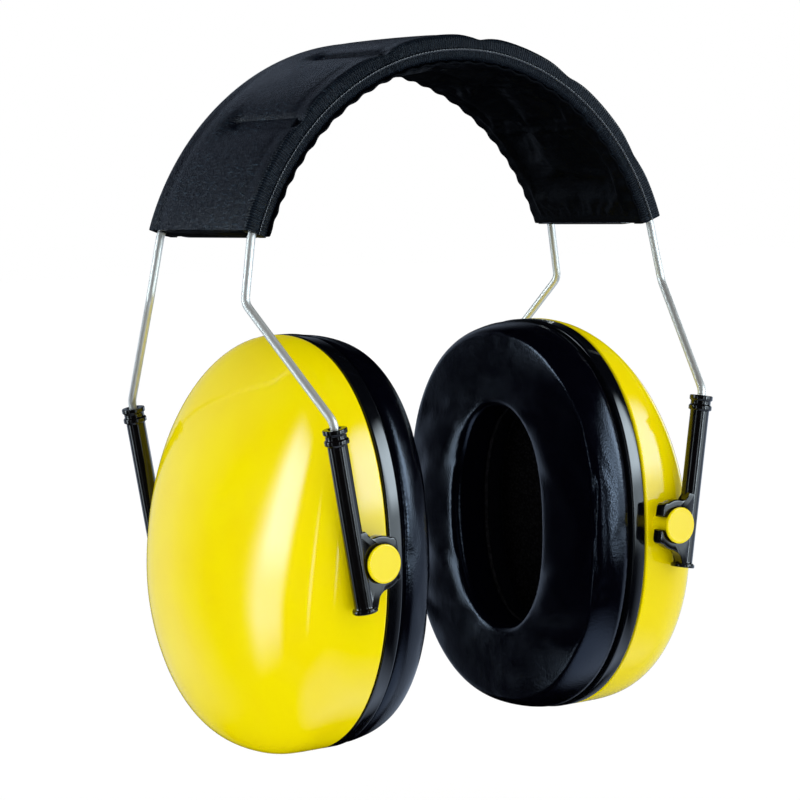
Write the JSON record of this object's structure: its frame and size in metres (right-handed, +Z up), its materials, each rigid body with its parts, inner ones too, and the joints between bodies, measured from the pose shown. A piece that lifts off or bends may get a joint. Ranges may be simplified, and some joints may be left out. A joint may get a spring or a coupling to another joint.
{
  "type": "earmuff hearing protector",
  "caption": "Over-the-head earmuff hearing protector with padded band, sprung wires, sliding holders and tilting cups with soft ear cushions.",
  "frame": {"origin": "midway between the two ear cups, on the line of their tilt pivots, where the wearer's head sits", "axes": "+Z up through the crown of the band, +X to the right cup, -Y toward the front wire"},
  "size_m": [0.1356, 0.0984, 0.1793],
  "materials": {
    "band_cover": "grained soft PVC, satin",
    "band_lining": "padded soft PVC, satin",
    "foam": "open-cell foam",
    "spring_steel": "bright drawn wire",
    "cup_yellow": "gloss moulded ABS",
    "plate_black": "gloss moulded ABS",
    "holder_black": "gloss moulded acetal",
    "cushion_skin": "fine-grained soft PVC foil",
    "cushion_liquid": "clear film over liquid"
  },
  "bodies": {
    "headband": {"headband_outer_cover": "band_cover", "headband_inner_cover": "band_lining", "headband_foam_pad": "foam", "front_spring_wire": "spring_steel", "back_spring_wire": "spring_steel"},
    "left_front_arm": {"left_front_wire_holder": "holder_black"},
    "left_back_arm": {"left_back_wire_holder": "holder_black"},
    "left_cup": {"left_cup_shell": "cup_yellow", "left_absorber_foam": "foam", "left_cushion_plate": "plate_black", "left_cushion_cover": "cushion_skin", "left_cushion_foam_ring": "foam", "left_cushion_liquid_ring": "cushion_liquid"},
    "right_front_arm": {"right_front_wire_holder": "holder_black"},
    "right_back_arm": {"right_back_wire_holder": "holder_black"},
    "right_cup": {"right_cup_shell": "cup_yellow", "right_absorber_foam": "foam", "right_cushion_plate": "plate_black", "right_cushion_cover": "cushion_skin", "right_cushion_foam_ring": "foam", "right_cushion_liquid_ring": "cushion_liquid"}
  },
  "joints": [
    {"name": "left_front_slide", "type": "slide", "parent": "headband", "child": "left_front_arm", "axis": [0.1702, 0, -0.9854], "range_m": [0, 0.03]},
    {"name": "left_back_slide", "type": "slide", "parent": "headband", "child": "left_back_arm", "axis": [0.1702, 0, -0.9854], "range_m": [0, 0.03]},
    {"name": "left_cup_tilt", "type": "hinge", "parent": "left_front_arm", "child": "left_cup", "pos_m": [-0.0475, 0, 0], "axis": [0, 1, 0], "range_deg": [-18, 18]},
    {"name": "right_front_slide", "type": "slide", "parent": "headband", "child": "right_front_arm", "axis": [-0.1702, 0, -0.9854], "range_m": [0, 0.03]},
    {"name": "right_back_slide", "type": "slide", "parent": "headband", "child": "right_back_arm", "axis": [-0.1702, 0, -0.9854], "range_m": [0, 0.03]},
    {"name": "right_cup_tilt", "type": "hinge", "parent": "right_front_arm", "child": "right_cup", "pos_m": [0.0475, 0, 0], "axis": [0, -1, 0], "range_deg": [-18, 18]}
  ],
  "couplings": [
    {"joint": "left_back_slide", "follows": "left_front_slide", "ratio": 1},
    {"joint": "right_back_slide", "follows": "right_front_slide", "ratio": 1}
  ]
}
